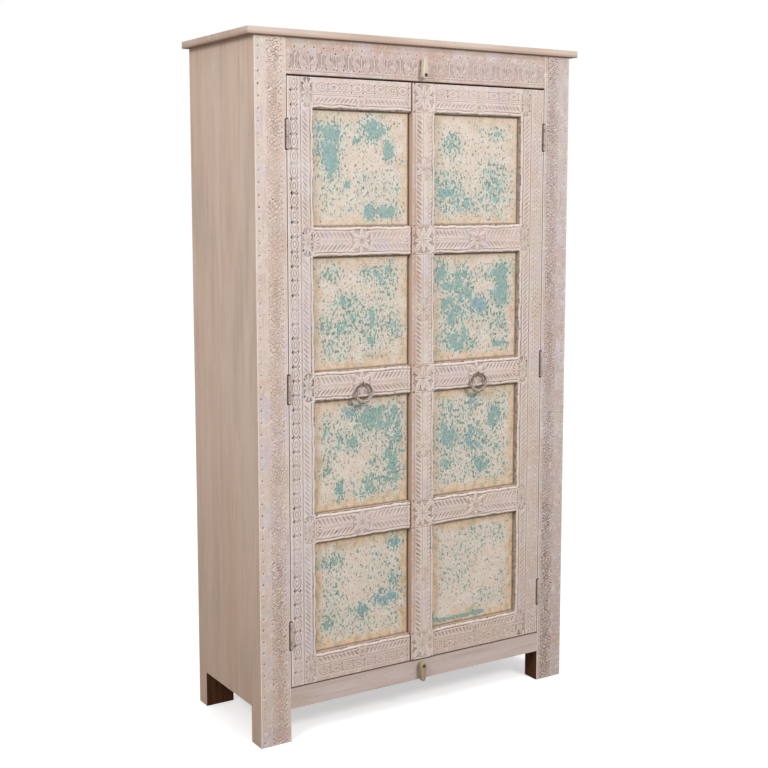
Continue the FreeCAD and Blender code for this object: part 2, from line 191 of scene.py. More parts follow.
post_finish = {
    -1: whitewashed_wood("whitewashed_left_post", "z", "#dccbc0", "#d6bbac", "#a3857a", "#c9ac9a"),
    1: whitewashed_wood("whitewashed_right_post", "z", "#c8bcb8", "#c8b0a6", "#826e67", "#bda398", 0.34),
}
side_finish = {
    side: washed_board("washed_%s_side" % name, "z", "#d9bea9", "#dec8b8", "#bd9a83", (side, 0, 0))
    for side, name in sides
}

pitch = 1.5


def valley(away, width):
    """The shape of a V cut, from 1 along its middle to 0 past its edges."""
    return np.clip(1.2 - 2 * away / width, 0, 1)


class Face:
    """A board's face laid out in millimetres: how deep each place is cut, which places are painted
    paler, as wash and painted highlight, which darker, as stain and painted shade, which keep
    an older wash (toned), and how much wear has left of the cuts."""

    def __init__(self, low, high):
        self.low, self.high = np.array(low), np.array(high)
        self.x, self.z = (self.stations(low[axis], high[axis]) for axis in (0, 2))
        self.cut, self.recess, self.crest, self.toned = np.zeros((4, len(self.z), len(self.x)))
        self.wear = 0.45 + 0.9 * self.drift(52)

    def stations(self, start, end):
        arris = np.array([0.0, 0.5, 1.2])
        inner = np.linspace(start + 2, end - 2, max(2, round((end - start - 4) / pitch)))
        return np.concatenate([start + arris, inner, (end - arris)[::-1]])

    def drift(self, reach):
        """Smooth random values from 0 to 1 over the face, with hills about reach mm apart."""
        across = np.arange(self.low[0], self.high[0] + reach, reach)
        up = np.arange(self.low[2], self.high[2] + reach, reach)
        values = hand.random((len(up), len(across)))
        rows = np.stack([np.interp(self.x, across, row) for row in values])
        return np.stack([np.interp(self.z, up, column) for column in rows.T], -1)

    def near(self, x, z, reach):
        across = slice(*np.searchsorted(self.x, (x - reach, x + reach)))
        up = slice(*np.searchsorted(self.z, (z - reach, z + reach)))
        x_here, z_here = np.meshgrid(self.x[across], self.z[up])
        return (up, across), x_here - x, z_here - z

    def deepen(self, window, depth, dark, shape):
        left = self.wear[window] * shape
        self.cut[window] = np.maximum(self.cut[window], depth * left)
        self.recess[window] = np.maximum(self.recess[window], dark * left)

    def gouge(self, x, z, length, width, depth, lean, dark):
        """One push of a round gouge: a boat-shaped hollow that leans from upright."""
        x, z = x + hand.normal(0, 0.3), z + hand.normal(0, 0.3)
        lean += hand.normal(0, 0.06)
        depth *= hand.uniform(0.8, 1.15)
        dark *= hand.uniform(0.6, 1.25)
        window, right, up = self.near(x, z, length / 2 + 1)
        along = (right * sin(lean) + up * cos(lean)) / (length / 2)
        across = (right * cos(lean) - up * sin(lean)) / (width / 2)
        hollow = np.clip(1 - along**2 - across**2, 0, 1)
        self.deepen(window, depth * hollow**0.7, dark * hollow, 1)

    def vein(self, points, width, depth, dark):
        """A line cut with a V tool from point to point."""
        for (x1, z1), (x2, z2) in zip(points, points[1:]):
            run = hypot(x2 - x1, z2 - z1) or 1.0
            window, right, up = self.near((x1 + x2) / 2, (z1 + z2) / 2, run / 2 + width)
            dx, dz = (x2 - x1) / run, (z2 - z1) / run
            along = np.clip(right * dx + up * dz, -run / 2, run / 2)
            away = np.hypot(right - along * dx, up - along * dz)
            self.deepen(window, depth, dark, valley(away, width))

    def arc(self, x, z, radius, start, end, width, depth, dark, stretch=1.0, grow=0.0):
        """A curved line round a centre. It grows wider by grow over its run, as a scroll does."""
        turns = np.linspace(start, end, max(5, int(abs(end - start) * radius / 3)))
        reach = radius + grow * (turns - start) / (end - start)
        points = zip(x + reach * np.cos(turns), z + stretch * reach * np.sin(turns))
        self.vein(list(points), width, depth, dark)

    def line(self, width, depth, dark, x=None, z=None):
        """A straight line from end to end of the face, upright at x or level at z."""
        away = abs(self.x[None, :] - x) if z is None else abs(self.z[:, None] - z)
        self.deepen(slice(None), depth, dark, valley(away, width))

    def diamond(self, x, z, size, depth, dark):
        """A deep punched diamond, its bottom painted dark, as stain and painted shade."""
        x, z = x + hand.normal(0, 0.4), z + hand.normal(0, 0.6)
        dark *= hand.uniform(0.65, 1.1)
        window, right, up = self.near(x, z, size)
        pit = np.clip(1.3 - (abs(right) + abs(up) * 0.75) / (size / 2), 0, 1)
        self.deepen(window, depth, dark, pit)

    def bead(self, toward, x=None, z=None, start=None, end=None, pale=0.9):
        """A round bead along an edge at x or z, wavy and chipped, with a quirk beside it. The bead
        is painted pale, as wash and painted highlight, and its outer edge and the quirk are painted
        dark, as painted shade.
        """
        radius = 4.0
        away = (self.x[None, :] - x) * toward if z is None else (self.z[:, None] - z) * toward
        run = self.z[:, None] if z is None else self.x[None, :]
        start = self.low[0] if start is None else start
        end = self.high[0] if end is None else end
        inside = (run >= start) & (run <= end) & np.ones_like(self.cut, dtype=bool)
        bends = np.arange(start, end + 30, 19)
        wave = np.interp(run, bends, hand.uniform(0, 2.8, len(bends)))
        bends = bends + hand.uniform(-7, 7, len(bends))
        wave = wave + np.interp(run, bends, hand.uniform(0, 1.1, len(bends)))
        away = away * np.ones_like(self.cut) - wave
        drop = radius - np.sqrt(np.clip(radius**2 - np.clip(radius - away, 0, radius) ** 2, 0, None))
        on_bead = inside & (away < 2 * radius)
        self.cut[on_bead] = np.maximum(self.cut, drop)[on_bead]
        # The bead is painted pale, as wash and painted highlight.
        self.crest[on_bead] = pale * (0.55 + 0.7 * self.drift(16)[on_bead])
        # Painted shade: a dark line along the bead's outer edge.
        self.recess[inside & (away < 0.3)] = 0.6
        self.deepen(slice(None), 1.8, 0.55, valley(abs(away - 2 * radius), 3.6) * inside)
        for chip in hand.uniform(start, end, int((end - start) / 30)):
            off = toward * hand.uniform(0.5, 2 * radius)
            place = (x + off, chip) if z is None else (chip, z + off)
            self.gouge(*place, hand.uniform(3, 7), 3.4, 1.4, hand.uniform(-1.5, 1.5), 0.9)

    def sink(self, x, z, across, up, depth, dark):
        """Ground cut back round a flower, in a rounded shape of the given half sizes."""
        window, right, high = self.near(x, z, max(across, up) + 2)
        out = (abs(right / across) ** 3 + abs(high / up) ** 3) ** (1 / 3)
        floor = np.clip((1 - out) * across / 1.6, 0, 1)
        self.deepen(window, depth, dark, floor)

    def leaf(self, x, z, angle, length, width, proud):
        """A leaf left standing on sunk ground: a domed blade with a vein down its middle. Its dome
        is painted paler, as painted highlight, and its vein darker, as stain and painted shade.
        """
        angle, root = angle + hand.normal(0, 0.05), 3.0
        window, right, up = self.near(x, z, length + 2)
        along = (right * cos(angle) + up * sin(angle) - root) / (length - root)
        across = up * cos(angle) - right * sin(angle)
        half = width / 2 * np.sqrt(np.clip(np.sin(pi * np.clip(along, 0, 1) ** 0.8), 0.001, 1))
        blade = np.sqrt(np.clip(1 - (across / half) ** 2, 0, 1)) * (along > 0) * (along < 1)
        vein = valley(abs(across), 3.0) * np.clip(1.1 - along, 0, 1)
        standing = blade > 0.25
        level = 0.5 - (proud + 0.5) * blade + 1.1 * vein * self.wear[window]
        self.cut[window] = np.where(standing, level, self.cut[window])
        self.recess[window] = np.where(standing, 0.45 * vein, self.recess[window])
        # Painted highlight on the dome of the blade.
        pale = 0.35 * blade * (1 - vein) * self.wear[window]
        self.crest[window] = np.where(standing, pale, self.crest[window])

    def button(self, x, z, radius, proud, hatched=False):
        """The middle of a flower, round or square, with a ring or cross cuts on it."""
        window, right, up = self.near(x, z, radius * 1.5)
        out = np.maximum(abs(right), abs(up)) if hatched else np.hypot(right, up)
        on = out < radius
        if hatched:
            mark = np.maximum(np.cos(right * pi / 2), np.cos(up * pi / 2)) > 0.6
        else:
            mark = abs(out - radius * 0.5) < 0.9
        self.cut[window] = np.where(on, 1.1 * mark - proud, self.cut[window])
        self.recess[window] = np.where(on, 0.55 * mark, self.recess[window])

    def scuff(self, count):
        """Small knocks and slips of the tool, scattered over the face."""
        for number in range(count):
            x, z = hand.uniform(self.low[0], self.high[0]), hand.uniform(self.low[2], self.high[2])
            length, lean = hand.uniform(2.5, 8), hand.uniform(-1.5, 1.5)
            self.gouge(x, z, length, hand.uniform(1.8, 3.2), 0.9, lean, hand.uniform(0.2, 0.75))

    def rub(self, x, reach=2.4, pale=0.75):
        """An upright arris painted pale, as wash and painted highlight."""
        along = abs(self.x - x) < reach
        self.crest[:, along] = np.maximum(self.crest[:, along], pale)


def softened(values):
    """The values averaged with their neighbours, along and across."""
    reach = 2
    for axis in (0, 1):
        padded = np.pad(values, [(reach, reach) if side == axis else (0, 0) for side in (0, 1)], "edge")
        size = values.shape[axis]
        parts = [np.take(padded, range(step, step + size), axis) for step in range(2 * reach + 1)]
        values = sum(parts) / len(parts)
    return values


def mark_points(mesh, label, values):
    """Gives the mesh's points their values in order. Points past the last value get none."""
    filled = np.zeros(len(mesh.vertices), dtype=np.float32)
    filled[: np.size(values)] = np.ravel(values)
    mesh.attributes.new(label, "FLOAT", "POINT").data.foreach_set("value", filled)


def placed(name, mesh, body, nodes):
    """Sets a mesh in the scene as a piece that rides a body and stands for CAD nodes."""
    piece = bpy.data.objects.new(name, mesh)
    bpy.context.scene.collection.objects.link(piece)
    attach(piece, body)
    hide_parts(*nodes)
    return piece


def board(
    name, face, body, node, finish, back_finish, edges="", edge_finish=None, behind=None, painted_shade=None,
):
    """Makes the board whose face was carved, with its four edges and its back. The edges named
    in edges (l, r, t, b for left, right, top, bottom) get the edge finish, or else the back's,
    and every edge gets the back finish behind the depth given as behind. The edge values give
    how much darker each edge is painted, as painted shade on the reveals. The arrises of the
    cuts are painted paler, as wash and painted highlight, and the hollows darker, as stain and
    painted shade."""
    (x0, y0, z0), (x1, y1, z1) = face.low, face.high
    middle = y1 - 1 if behind is None else behind
    # Painted highlight on places that stand above their neighbours, painted shade where they lie below.
    standing = softened(face.cut) - face.cut
    crest = np.maximum(face.crest, np.clip(standing / 0.9, 0, 0.6)).clip(0, 1) * (1 - face.recess)
    recess = np.clip(face.recess + np.clip(-standing / 2.4, 0, 0.2), 0, 1)
    round_off = 1.1
    from_edge = np.minimum.outer(
        np.minimum(face.z - z0, z1 - face.z), np.minimum(face.x - x0, x1 - face.x)
    )
    worn = round_off - np.sqrt(round_off**2 - np.clip(round_off - from_edge, 0, round_off) ** 2)
    xs, zs = np.meshgrid(face.x, face.z)
    points = [np.stack([xs, y0 + face.cut + worn, zs], -1).reshape(-1, 3)]
    corner = np.arange(xs.size).reshape(xs.shape)
    quads = [
        np.stack([corner[:-1, :-1], corner[:-1, 1:], corner[1:, 1:], corner[1:, :-1]], -1).reshape(-1, 4)
    ]
    materials, point_darkening, count = [np.zeros(len(quads[0]))], [recess.ravel()], xs.size
    rims = {"l": corner[::-1, 0], "r": corner[:, -1], "b": corner[0, :], "t": corner[-1, ::-1]}
    for edge, rim in rims.items():
        lines = np.repeat(points[0][rim][None], 3, 0)
        lines[1, :, 1], lines[2, :, 1] = middle, y1
        points.append(lines.reshape(-1, 3))
        size, washed_as = len(rim), int(edge in edges)
        # Each edge strip is darkened by its given amount: painted shade on the reveals.
        point_darkening.append(np.full(3 * size, (painted_shade or {}).get(edge, 0.0)))
        for strip, material in enumerate((washed_as, washed_as if behind is None else 2)):
            first = count + strip * size + np.arange(size - 1)
            quads.append(np.stack([first, first + size, first + size + 1, first + 1], -1))
            materials.append(np.full(size - 1, material))
        count += 3 * size
    points.append([[x0, y1, z0], [x0, y1, z1], [x1, y1, z1], [x1, y1, z0]])
    quads.append([[count, count + 1, count + 2, count + 3]])
    materials.append([2])
    mesh = bpy.data.meshes.new(name)
    mesh.from_pydata((np.concatenate(points) * mm).tolist(), [], np.concatenate(quads).tolist())
    mark_points(mesh, "recess", np.concatenate(point_darkening))
    mark_points(mesh, "crest", crest)
    mark_points(mesh, "toned", face.toned)
    for material in (finish, edge_finish or back_finish, back_finish):
        mesh.materials.append(material)
    mesh.polygons.foreach_set("material_index", np.concatenate(materials).astype(np.int32))
    mesh.polygons.foreach_set("use_smooth", np.arange(len(mesh.polygons)) < len(quads[0]))
    mesh.update()
    return placed(name, mesh, body, [node])


def box_mm(node):
    low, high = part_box(node)
    return np.array(low) / mm, np.array(high) / mm


post_low, post_high = box_mm("left_front_post")
pin_x = -(post_high[0] + box_mm("left_hinge_stile")[0][0]) / 2
front = post_low[1]
leaf_height = 72.0


def hinge_places(side_name):
    """The heights of a door's three hinges, read from the vertices of its leaves."""
    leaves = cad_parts[side_name + "_hinge_frame_leaves"].data
    heights = np.unique([round(v.co.z / mm, 1) for v in leaves.vertices])
    hinges = np.split(heights, np.flatnonzero(np.diff(heights) > leaf_height) + 1)
    return [(hinge[0], hinge[-1]) for hinge in hinges]


knuckle_runs = {side: hinge_places(name) for side, name in sides}


def hinge_notches(face, side):
    """Square places chiselled out of the post and the door for the knuckles of the hinges. Their
    insides are painted fully dark, as painted shade.
    """
    room, spare, depth = 5.5, 3, 4.5
    for low, high in knuckle_runs[side]:
        upright = (face.z > low - spare) & (face.z < high + spare)
        inside = upright[:, None] & (abs(face.x - side * pin_x) < room)[None, :]
        face.cut[inside] = depth
        # Painted shade: the notch is painted dark.
        face.recess[inside] = 1.0


def vine(face, x, low, high, side, dark):
    """A vine of paired scrolls over nested hoops, with feathered leaves between them. It was cut
    by eye, so no two of its turns are alike."""
    period, inward, middle, kept = 80.0, -side, x, dark
    facing = 0 if inward > 0 else pi
    waver = np.random.default_rng(7)
    clean = (0.0, 0.5, 0.88, 0.96), (1.25, 0.75, 0.7, 1.1)
    for foot in np.arange(low, high - period, period):
        dark = kept * np.interp(foot / high, *clean)
        x = middle + waver.normal(0, 1.6)
        for height, radius in ((68, 11.5), (47, 10.5)):
            eye, z = x - inward * 2 + waver.normal(0, 1.4), foot + height + waver.normal(0, 1.8)
            for reach, turn in ((radius, 1.75), (radius * 0.62, 2.1), (radius * 0.28, 2.6)):
                reach, turn = reach * waver.uniform(0.88, 1.12), turn * waver.uniform(0.75, 1.15)
                tip = facing + turn if waver.random() < 0.5 else facing + 0.55 * turn
                width = waver.uniform(1.8, 2.9)
                face.arc(eye, z, reach, facing - turn, tip, width, 1.4, dark * width / 2.3, 1.0, 2.2)
            for lean in np.linspace(-0.9, 0.9, 4):
                leaf_x = eye + inward * (radius + 6.5) * cos(lean)
                leaf_z = z + (radius + 6.5) * sin(lean)
                face.gouge(leaf_x, leaf_z, 8, 2.6, 1.3, pi / 2 - inward * lean, 0.8 * dark)
        for reach in (4.5, 9.0, 13.5, 17.5):
            reach, stretch = reach + waver.normal(0, 0.6), waver.uniform(0.95, 1.3)
            face.arc(x, foot + 25, reach, pi, 2 * pi, 2.1, 1.2, 0.85 * dark, stretch)
            for way in (-1, 1):
                stem = [(x + way * reach, foot + 25), (x + way * reach * 0.93, foot + 35)]
                face.vein(stem, 2.1, 1.2, 0.8 * dark)
        for way in (-1, 1):
            sag = waver.normal(0, 1.2)
            wing = [(x + way * 2, foot + 2), (x + way * 10, foot + 3 + sag), (x + way * 19, foot + 10)]
            face.vein(wing, 2.3, 1.3, 0.9 * dark)
            face.diamond(x + way * 17, foot + 38, 4.2, 2.4, 1.6 * dark)
            face.diamond(x + way * 16.5, foot - 3, 4.4, 2.6, 1.8 * dark)
    for z in np.arange(low, high, 13.4):
        face.diamond(middle + inward * 20, z, 3.8, 2.4, 2.0 * kept)
    for z in np.arange(low, high, 6.4):
        dark = kept * np.interp(z / high, *clean) * waver.uniform(0.3, 1.2)
        offs = np.arange(waver.uniform(-22, -2), waver.uniform(4, 19), 2.5)
        bends = 3.6 * np.sin(offs / waver.uniform(2.4, 3.8) + waver.uniform(0, 6.3))
        face.vein(list(zip(middle - inward * 2 + offs, z + bends)), waver.uniform(1.7, 2.7), 1.5, dark)
        pit = middle + waver.uniform(-21, 16), z + waver.uniform(-3, 3)
        face.vein([pit, (pit[0] + 1.4, pit[1] + 0.5)], waver.uniform(2.2, 3.8), 2.2, 1.6 * dark)


for side, name in sides:
    low, high = box_mm(name + "_front_post")
    face = Face(low, high)
    outer = low[0] if side < 0 else high[0]
    for z in np.arange(low[2] + 14, high[2] - 4, 30.0):
        face.diamond(outer - side * 10.5, z, 5.6, 3.2, hand.uniform(0.5, 1.0) if side < 0 else 0.25)
    vine(face, outer - side * 55, low[2] + 9, high[2] - 1, side, 0.52 if side < 0 else 0.6)
    if side > 0:
        for z in np.arange(low[2] + 10, high[2] - 4, 13.4):
            face.diamond(outer - side * 69, z, 3.8, 2.2, 0.95)
            face.diamond(outer - side * 74, z + 6.7, 3.4, 2.0, 0.75)
        for number in range(420):
            speck = hand.uniform(outer - side * 66, outer - side * 12), hand.uniform(low[2], high[2])
            face.diamond(*speck, hand.uniform(2.4, 3.4), 1.4, hand.uniform(0.3, 0.8))
    face.line(1.8, 0.5, 0.12, x=outer - side * 36)
    on_vine = np.clip(1.6 - abs(face.x - outer + side * 55) / 15, 0, 1)
    face.toned = on_vine * (0.05 + 0.75 * face.drift(90))
    face.toned += np.clip(2.2 * face.drift(46) - 1.5, 0, 0.6) * (1 - on_vine)
    face.scuff(150)
    face.rub(low[0])
    face.rub(high[0])
    hinge_notches(face, side)
    bare = side_finish[side]
    board(name + "_carved_post", face, "carcass", name + "_front_post", post_finish[side], bare, "lr")


# Header rail
# A carved rail between the posts, above the doors. Tulips and sheaves with a wide foot take turns
# along it, cut close together with round gouges, under punched notches that fade to the right.

header_finish = whitewashed_wood("whitewashed_header", "x", "#cab4a9", "#c7a999", "#8a746a", "#c6b0ad")
post_in = post_high[0]
low, high = box_mm("header_rail")
low[0], high[0] = post_in, -post_in
face = Face(low, high)
count = int((high[0] - low[0]) / 38.0)
foot, top = low[2] + 15, low[2] + 53
sway = np.random.default_rng(5)
for number in range(count):
    x = low[0] + (number + 0.62) * (high[0] - low[0]) / count + sway.uniform(-1.5, 1.5)
    dark = 0.62 - 0.3 * number / count
    for way in (-1, 1):
        if number % 2:
            for off, up, length, lean in ((2.6, 21, 36, 0.03), (7.0, 23, 31, 0.14), (11.5, 26, 21, 0.3)):
                face.gouge(x + way * off, foot + up, length, 3.2, 1.9, way * lean, dark)
            face.gouge(x + way * 15, foot + 24, 13, 2.8, 1.6, way * 0.5, 0.8 * dark)
            face.arc(x + way * 10, foot + 7, 3.4, 0.5, 4.5, 2.2, 1.2, 0.8 * dark)
            face.diamond(x + way * 5.5, foot, 4.8, 2.8, 1.5 * dark)
        else:
            rise = np.linspace(0.0, 1.0, 9)
            for waist, flare, width in ((2.0, 3.5, 3.2), (5.4, 6.0, 2.8), (8.8, 7.0, 2.4)):
                out = waist + 1.5 * rise + flare * np.clip(1 - 2.2 * rise, 0, 1) ** 1.5
                height = foot + 1 + (top - foot + sway.uniform(-9, 1)) * rise
                stroke = x + way * (out + sway.normal(0, 0.3, 9))
                face.vein(list(zip(stroke, height)), width, 1.7, 0.8 * dark)
            face.gouge(x + way * 12.5, foot + 12, 12, 3.0, 1.8, way * -0.6, dark)
            face.gouge(x + way * 12.5, foot + 29, 14, 2.8, 1.6, way * 0.15, 0.8 * dark)
            face.diamond(x + way * 15.5, foot, 5.0, 3.0, 1.5 * dark)
    face.diamond(x, top + 1, 4.6, 2.8, 1.3 * dark)
    face.diamond(x, foot - 1, 3.8, 2.2, dark)
for x in np.arange(low[0] + 24, high[0] - 10, 28.0):
    face.diamond(x, low[2] + 67, 5.0, 2.6, 1.0 - 0.5 * (x - low[0]) / (high[0] - low[0]))
face.line(2.2, 0.9, 0.2, z=low[2] + 8)
face.scuff(110)
carved_band = np.clip((31 - abs(face.z - low[2] - 34)) / 6, 0, 1)[:, None]
face.toned = carved_band * (0.3 + 0.6 * face.drift(80))
# Painted shade along the top of the header, under the overhang of the top board.
face.recess = np.maximum(face.recess, 0.2 * (face.z > low[2] + 76)[:, None])
board("carved_header", face, "carcass", "header_rail", header_finish, side_finish[1], "lr")


# Bottom rail, sides, back posts and top board
# Plain planed boards, washed more thinly than the carved front. The wash has run and been
# rubbed along the grain, so the wood shows in long streaks, greyer and browner near the floor.

def finish_nodes(finish, *names):
    for name in names:
        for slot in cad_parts[name].material_slots:
            slot.material = finish


finish_nodes(washed_board("washed_bottom_rail", "x", "#d3c2bb", "#e4dad8", "#9c877f"), "bottom_rail")
# The lower part of the top board's edge is painted browner: painted shade along its lower arris.
top_edge_z = (1.8215, 1.813, 0.75)
top_finish = washed_board("washed_top_board", "x", "#cdb7a9", "#d9c8bc", "#a88b79", None, top_edge_z)
finish_nodes(top_finish, "top_board")
for side, name in sides:
    finish_nodes(side_finish[side], name + "_side_boards", name + "_back_post")


# Inside of the case and the back
# Floor, shelves, cleats, inner rails, back boards and the stop that the doors close against,
# all of sawn wood left as it came, darker where light never reaches.

def raw_wood(name, grain, pale, dark):
    """Sawn wood that was never washed, brown with age, with fine grain, darker bands of late
    growth, long worn places, and the marks of the saw. A board may have a tone of its own. The
    grain is drawn a few times coarser than real, or it wouldn't show."""
    finish, put = new_finish(name)
    own = marked(put, "board_tone")[0]
    place = put("VectorMath", {0: put("TexCoord", out="Object"), 1: own}, operation="ADD")
    streak, growth, patch, saw = patterns(
        put, place, grain, (1 / 24, 4, 6.0), (1 / 24, 26, 4.0, 0.5, 0.6), (1 / 5, 60, 3.0), (1, 2.5, 2.0)
    )
    ground = coats(
        put, dark,
        (streak, 0.3, 0.7, 1.0, pale),
        (growth, 0.5, 0.64, 0.5, "#4b3424"),
        (patch, 0.42, 0.66, 0.4, "#a58a72"),
        (own, 0.0, 1.0, 0.6, "#4f3626"),
        (saw, 0.58, 0.7, 0.35, "#3c2a1e"),
    )
    surface(put, ground, 0.85, streak, 0.4, 0.8)
    return finish


def piece_of(name, parts, finish, body, node, recess=()):
    """Joins parts, each its points in mm and its faces, into one piece."""
    points, faces = [], []
    for part_points, part_faces in parts:
        faces += [[index + len(points) for index in corners] for corners in part_faces]
        points += [tuple(float(value) * mm for value in point) for point in part_points]
    mesh = bpy.data.meshes.new(name)
    mesh.from_pydata(points, [], faces)
    mark_points(mesh, "recess", recess)
    mesh.materials.append(finish)
    mesh.polygons.foreach_set("use_smooth", [True] * len(mesh.polygons))
    mesh.set_sharp_from_angle(angle=radians(40))
    return placed(name, mesh, body, [node])


def skin(rings, closed=False):
    """Quads between rings of points, with a cap on each end unless the rings close."""
    count = len(rings[0])
    points = [point for ring in rings for point in ring]
    faces = []
    for ring in range(len(rings) if closed else len(rings) - 1):
        here, there = ring * count, (ring + 1) % len(rings) * count
        for corner in range(count):
            after = (corner + 1) % count
            faces.append([here + corner, here + after, there + after, there + corner])
    if not closed:
        faces.append(list(range(count))[::-1])
        faces.append([(len(rings) - 1) * count + corner for corner in range(count)])
    return points, faces


inner_level = raw_wood("sawn_inner_wood_level", "x", "#8f6f57", "#5e432f")
inner_upright = raw_wood("sawn_inner_wood_upright", "z", "#8a6b54", "#5b402d")
inner_deep = raw_wood("sawn_inner_wood_deep", "y", "#87684f", "#583e2c")
finish_nodes(inner_level, "top_back_rail", "bottom_back_rail", "floor_board", "door_stop")
finish_nodes(inner_level, "lower_shelf", "middle_shelf", "upper_shelf")
finish_nodes(inner_upright, "left_meeting_stile")
for side, name in sides:
    finish_nodes(inner_deep, name + "_side_rails", name + "_shelf_cleats")

low, high = box_mm("back_boards")
board_tones, ease = (0.35, 0.0, 0.7, 0.2, 0.55), 2.4
board_width = (high[0] - low[0]) / len(board_tones)
back_parts = []
for number in range(len(board_tones)):
    left, right = low[0] + number * board_width, low[0] + (number + 1) * board_width
    outline = [
        (left + ease, low[1]), (right - ease, low[1]), (right, low[1] + ease), (right, high[1] - ease),
        (right - ease, high[1]), (left + ease, high[1]), (left, high[1] - ease), (left, low[1] + ease),
    ]
    back_parts.append(skin([[(x, y, z) for x, y in outline] for z in (low[2], high[2])]))
back_piece = piece_of(
    "eased_back_boards", back_parts, inner_upright, "carcass", "back_boards"
)
tones = np.repeat(board_tones, len(back_piece.data.vertices) // len(board_tones))
mark_points(back_piece.data, "board_tone", tones)


# Doors: hinge stiles
# The outer upright of each door. A twisted chain runs down the left one, beside a band of
# slanting cuts. The right one is cut more finely, and both have leafy blocks at the rails.

upright_finish = {
    -1: whitewashed_wood("whitewashed_left_stile", "z", "#ded3d2", "#dbc8bf", "#8a7773", "#d3bcb0", 0.08),
    1: whitewashed_wood("whitewashed_right_stile", "z", "#d5c5bc", "#d1b8a9", "#97806f", "#cdb4a4"),
}
rail_names = ("bottom_rail", "lower_rail", "ring_rail", "upper_rail", "top_rail")
rail_runs = [[corner[2] for corner in box_mm("left_door_" + rail)] for rail in rail_names]
panel_runs = [(first[1], second[0]) for first, second in zip(rail_runs, rail_runs[1:])]
panel_back = box_mm("left_door_top_panel")[1][1]


def fan(face, x, z, reach, leans, dark):
    """Short gouge cuts that spread from a point like the ribs of a fan."""
    for lean in leans:
        rib = x + reach * cos(lean), z + reach * sin(lean)
        face.gouge(*rib, 13, 3.6, 1.8, pi / 2 - lean, dark)


def leaves(face, x, z, leans, *shape):
    """Leaves of one shape (length, width, how proud they stand) that spread from a point."""
    for lean in leans:
        face.leaf(x, z, lean, *shape)


def leafy_block(face, x, z, across, up, proud, dark):
    """A flower of four long leaves and four short ones, on ground cut back round it."""
    face.sink(x, z, across, up, 1.7, dark)
    corner = atan2(up, across)
    long_leaf = hypot(across, up) * 0.86, across * 0.62, proud
    leaves(face, x, z, (corner, pi - corner, pi + corner, -corner), *long_leaf)
    leaves(face, x, z, (0, pi), across * 0.92, across * 0.42, proud - 0.2)
    leaves(face, x, z, (pi / 2, -pi / 2), up * 0.92, across * 0.42, proud - 0.2)
    face.button(x, z, 4.6, proud + 0.3)


def chain(face, runs, middle, start, link, curve, cut, upright):
    """Two strands that wave round each other along the face and cross after every link."""
    swing = np.sin((runs - start) * pi / link)
    for way in (1, -1):
        wave = middle + way * 10.5 * np.sign(swing) * abs(swing) ** curve
        face.vein(list(zip(wave, runs) if upright else zip(runs, wave)), *cut)


for side, name in sides:
    low, high = box_mm(name + "_hinge_stile")
    face = Face(low, high)
    outer, inner = (low[0], high[0]) if side < 0 else (high[0], low[0])
    link = 36.6
    if side < 0:
        middle = outer - side * 19
        heights = np.arange(low[2] + 5, high[2] - 4, 2.5)
        chain(face, heights, middle, low[2] + 18 - link / 2, link, 0.6, (2.8, 1.8, 0.5), True)
        for z in np.arange(low[2] + 18, high[2] - 12, link):
            face.arc(middle, z, 4.8, 0, 2 * pi, 2.4, 1.6, 0.5, 1.7)
        for z in np.arange(low[2] + 18 + link / 2, high[2] - 8, link):
            face.diamond(middle + side * 8, z, 8.0, 3.6, 1.25)
            face.diamond(middle - side * 9, z, 6.0, 3.0, 0.9)
    else:
        for z in np.arange(low[2] + 8, high[2] - 6, 13.0):
            face.gouge(outer - side * 14, z, 11, 3.0, 1.4, 0.6, 0.42)
            face.gouge(outer - side * 21, z + 5, 11, 3.0, 1.4, -0.6, 0.42)
            face.diamond(outer - side * 29, z, 3.8, 2.2, 0.7)
        face.line(2.2, 1.0, 0.25, x=outer - side * 7)
    face.line(2.6, 1.4, 0.6, x=inner + side * 37)
    face.line(2.0, 0.9, 0.25, x=inner + side * 11)
    face.toned = 0.8 * np.clip(2.0 * face.drift(60) - 1.1, 0, 1)
    face.rub(low[0])
    face.rub(high[0], pale=0.5)
    face.scuff(220)
    for z_low, z_high in panel_runs:
        for z in np.arange(z_low + 6, z_high - 4, 12.5):
            face.gouge(inner + side * 24, z, 27, 7.0, 1.6, side * 0.7, 0.27)
    for z_low, z_high in panel_runs:
        face.bead(side, x=inner, start=z_low, end=z_high, pale=0.75)
    for z_low, z_high in rail_runs:
        x, z = inner + side * 18, (z_low + z_high) / 2
        leafy_block(face, x, z, 17, 39, 0.0, 0.4)
        for turn in (-1, 1):
            fan(face, x, z + turn * 15, 14, turn * np.array([0.5, 1.1, 2.0, 2.6]), 0.6)
            face.diamond(x + side * 13, z + turn * 22, 6.0, 3.2, 1.1)
            face.diamond(x - side * 12, z + turn * 16, 5.4, 3.0, 1.0)
    hinge_notches(face, side)
    board(
        name + "_carved_hinge_stile", face, name + "_door", name + "_hinge_stile", upright_finish[side],
        inner_upright, behind=panel_back, painted_shade={"r": 0.6, "l": 0.6},
    )


# Doors: meeting stile
# The wide upright on the right door, which stands a little proud and closes against the left
# door. Slanting cuts run each side of a plain rib, between leafy blocks at the rails. Its left
# edge is finished browner than its face.

middle_upright = whitewashed_wood(
    "whitewashed_meeting_stile", "z", "#dfd1c8", "#dac3b6", "#957e72", "#bf9c86", 0.06
)
browner_left_edge = washed_board("browner_meeting_edge", "z", "#c9ab97", "#d3baa8", "#a07e68")


def round_steps(count):
    """Angles spread evenly round a full turn."""
    return np.linspace(0, 2 * pi, count, endpoint=False)


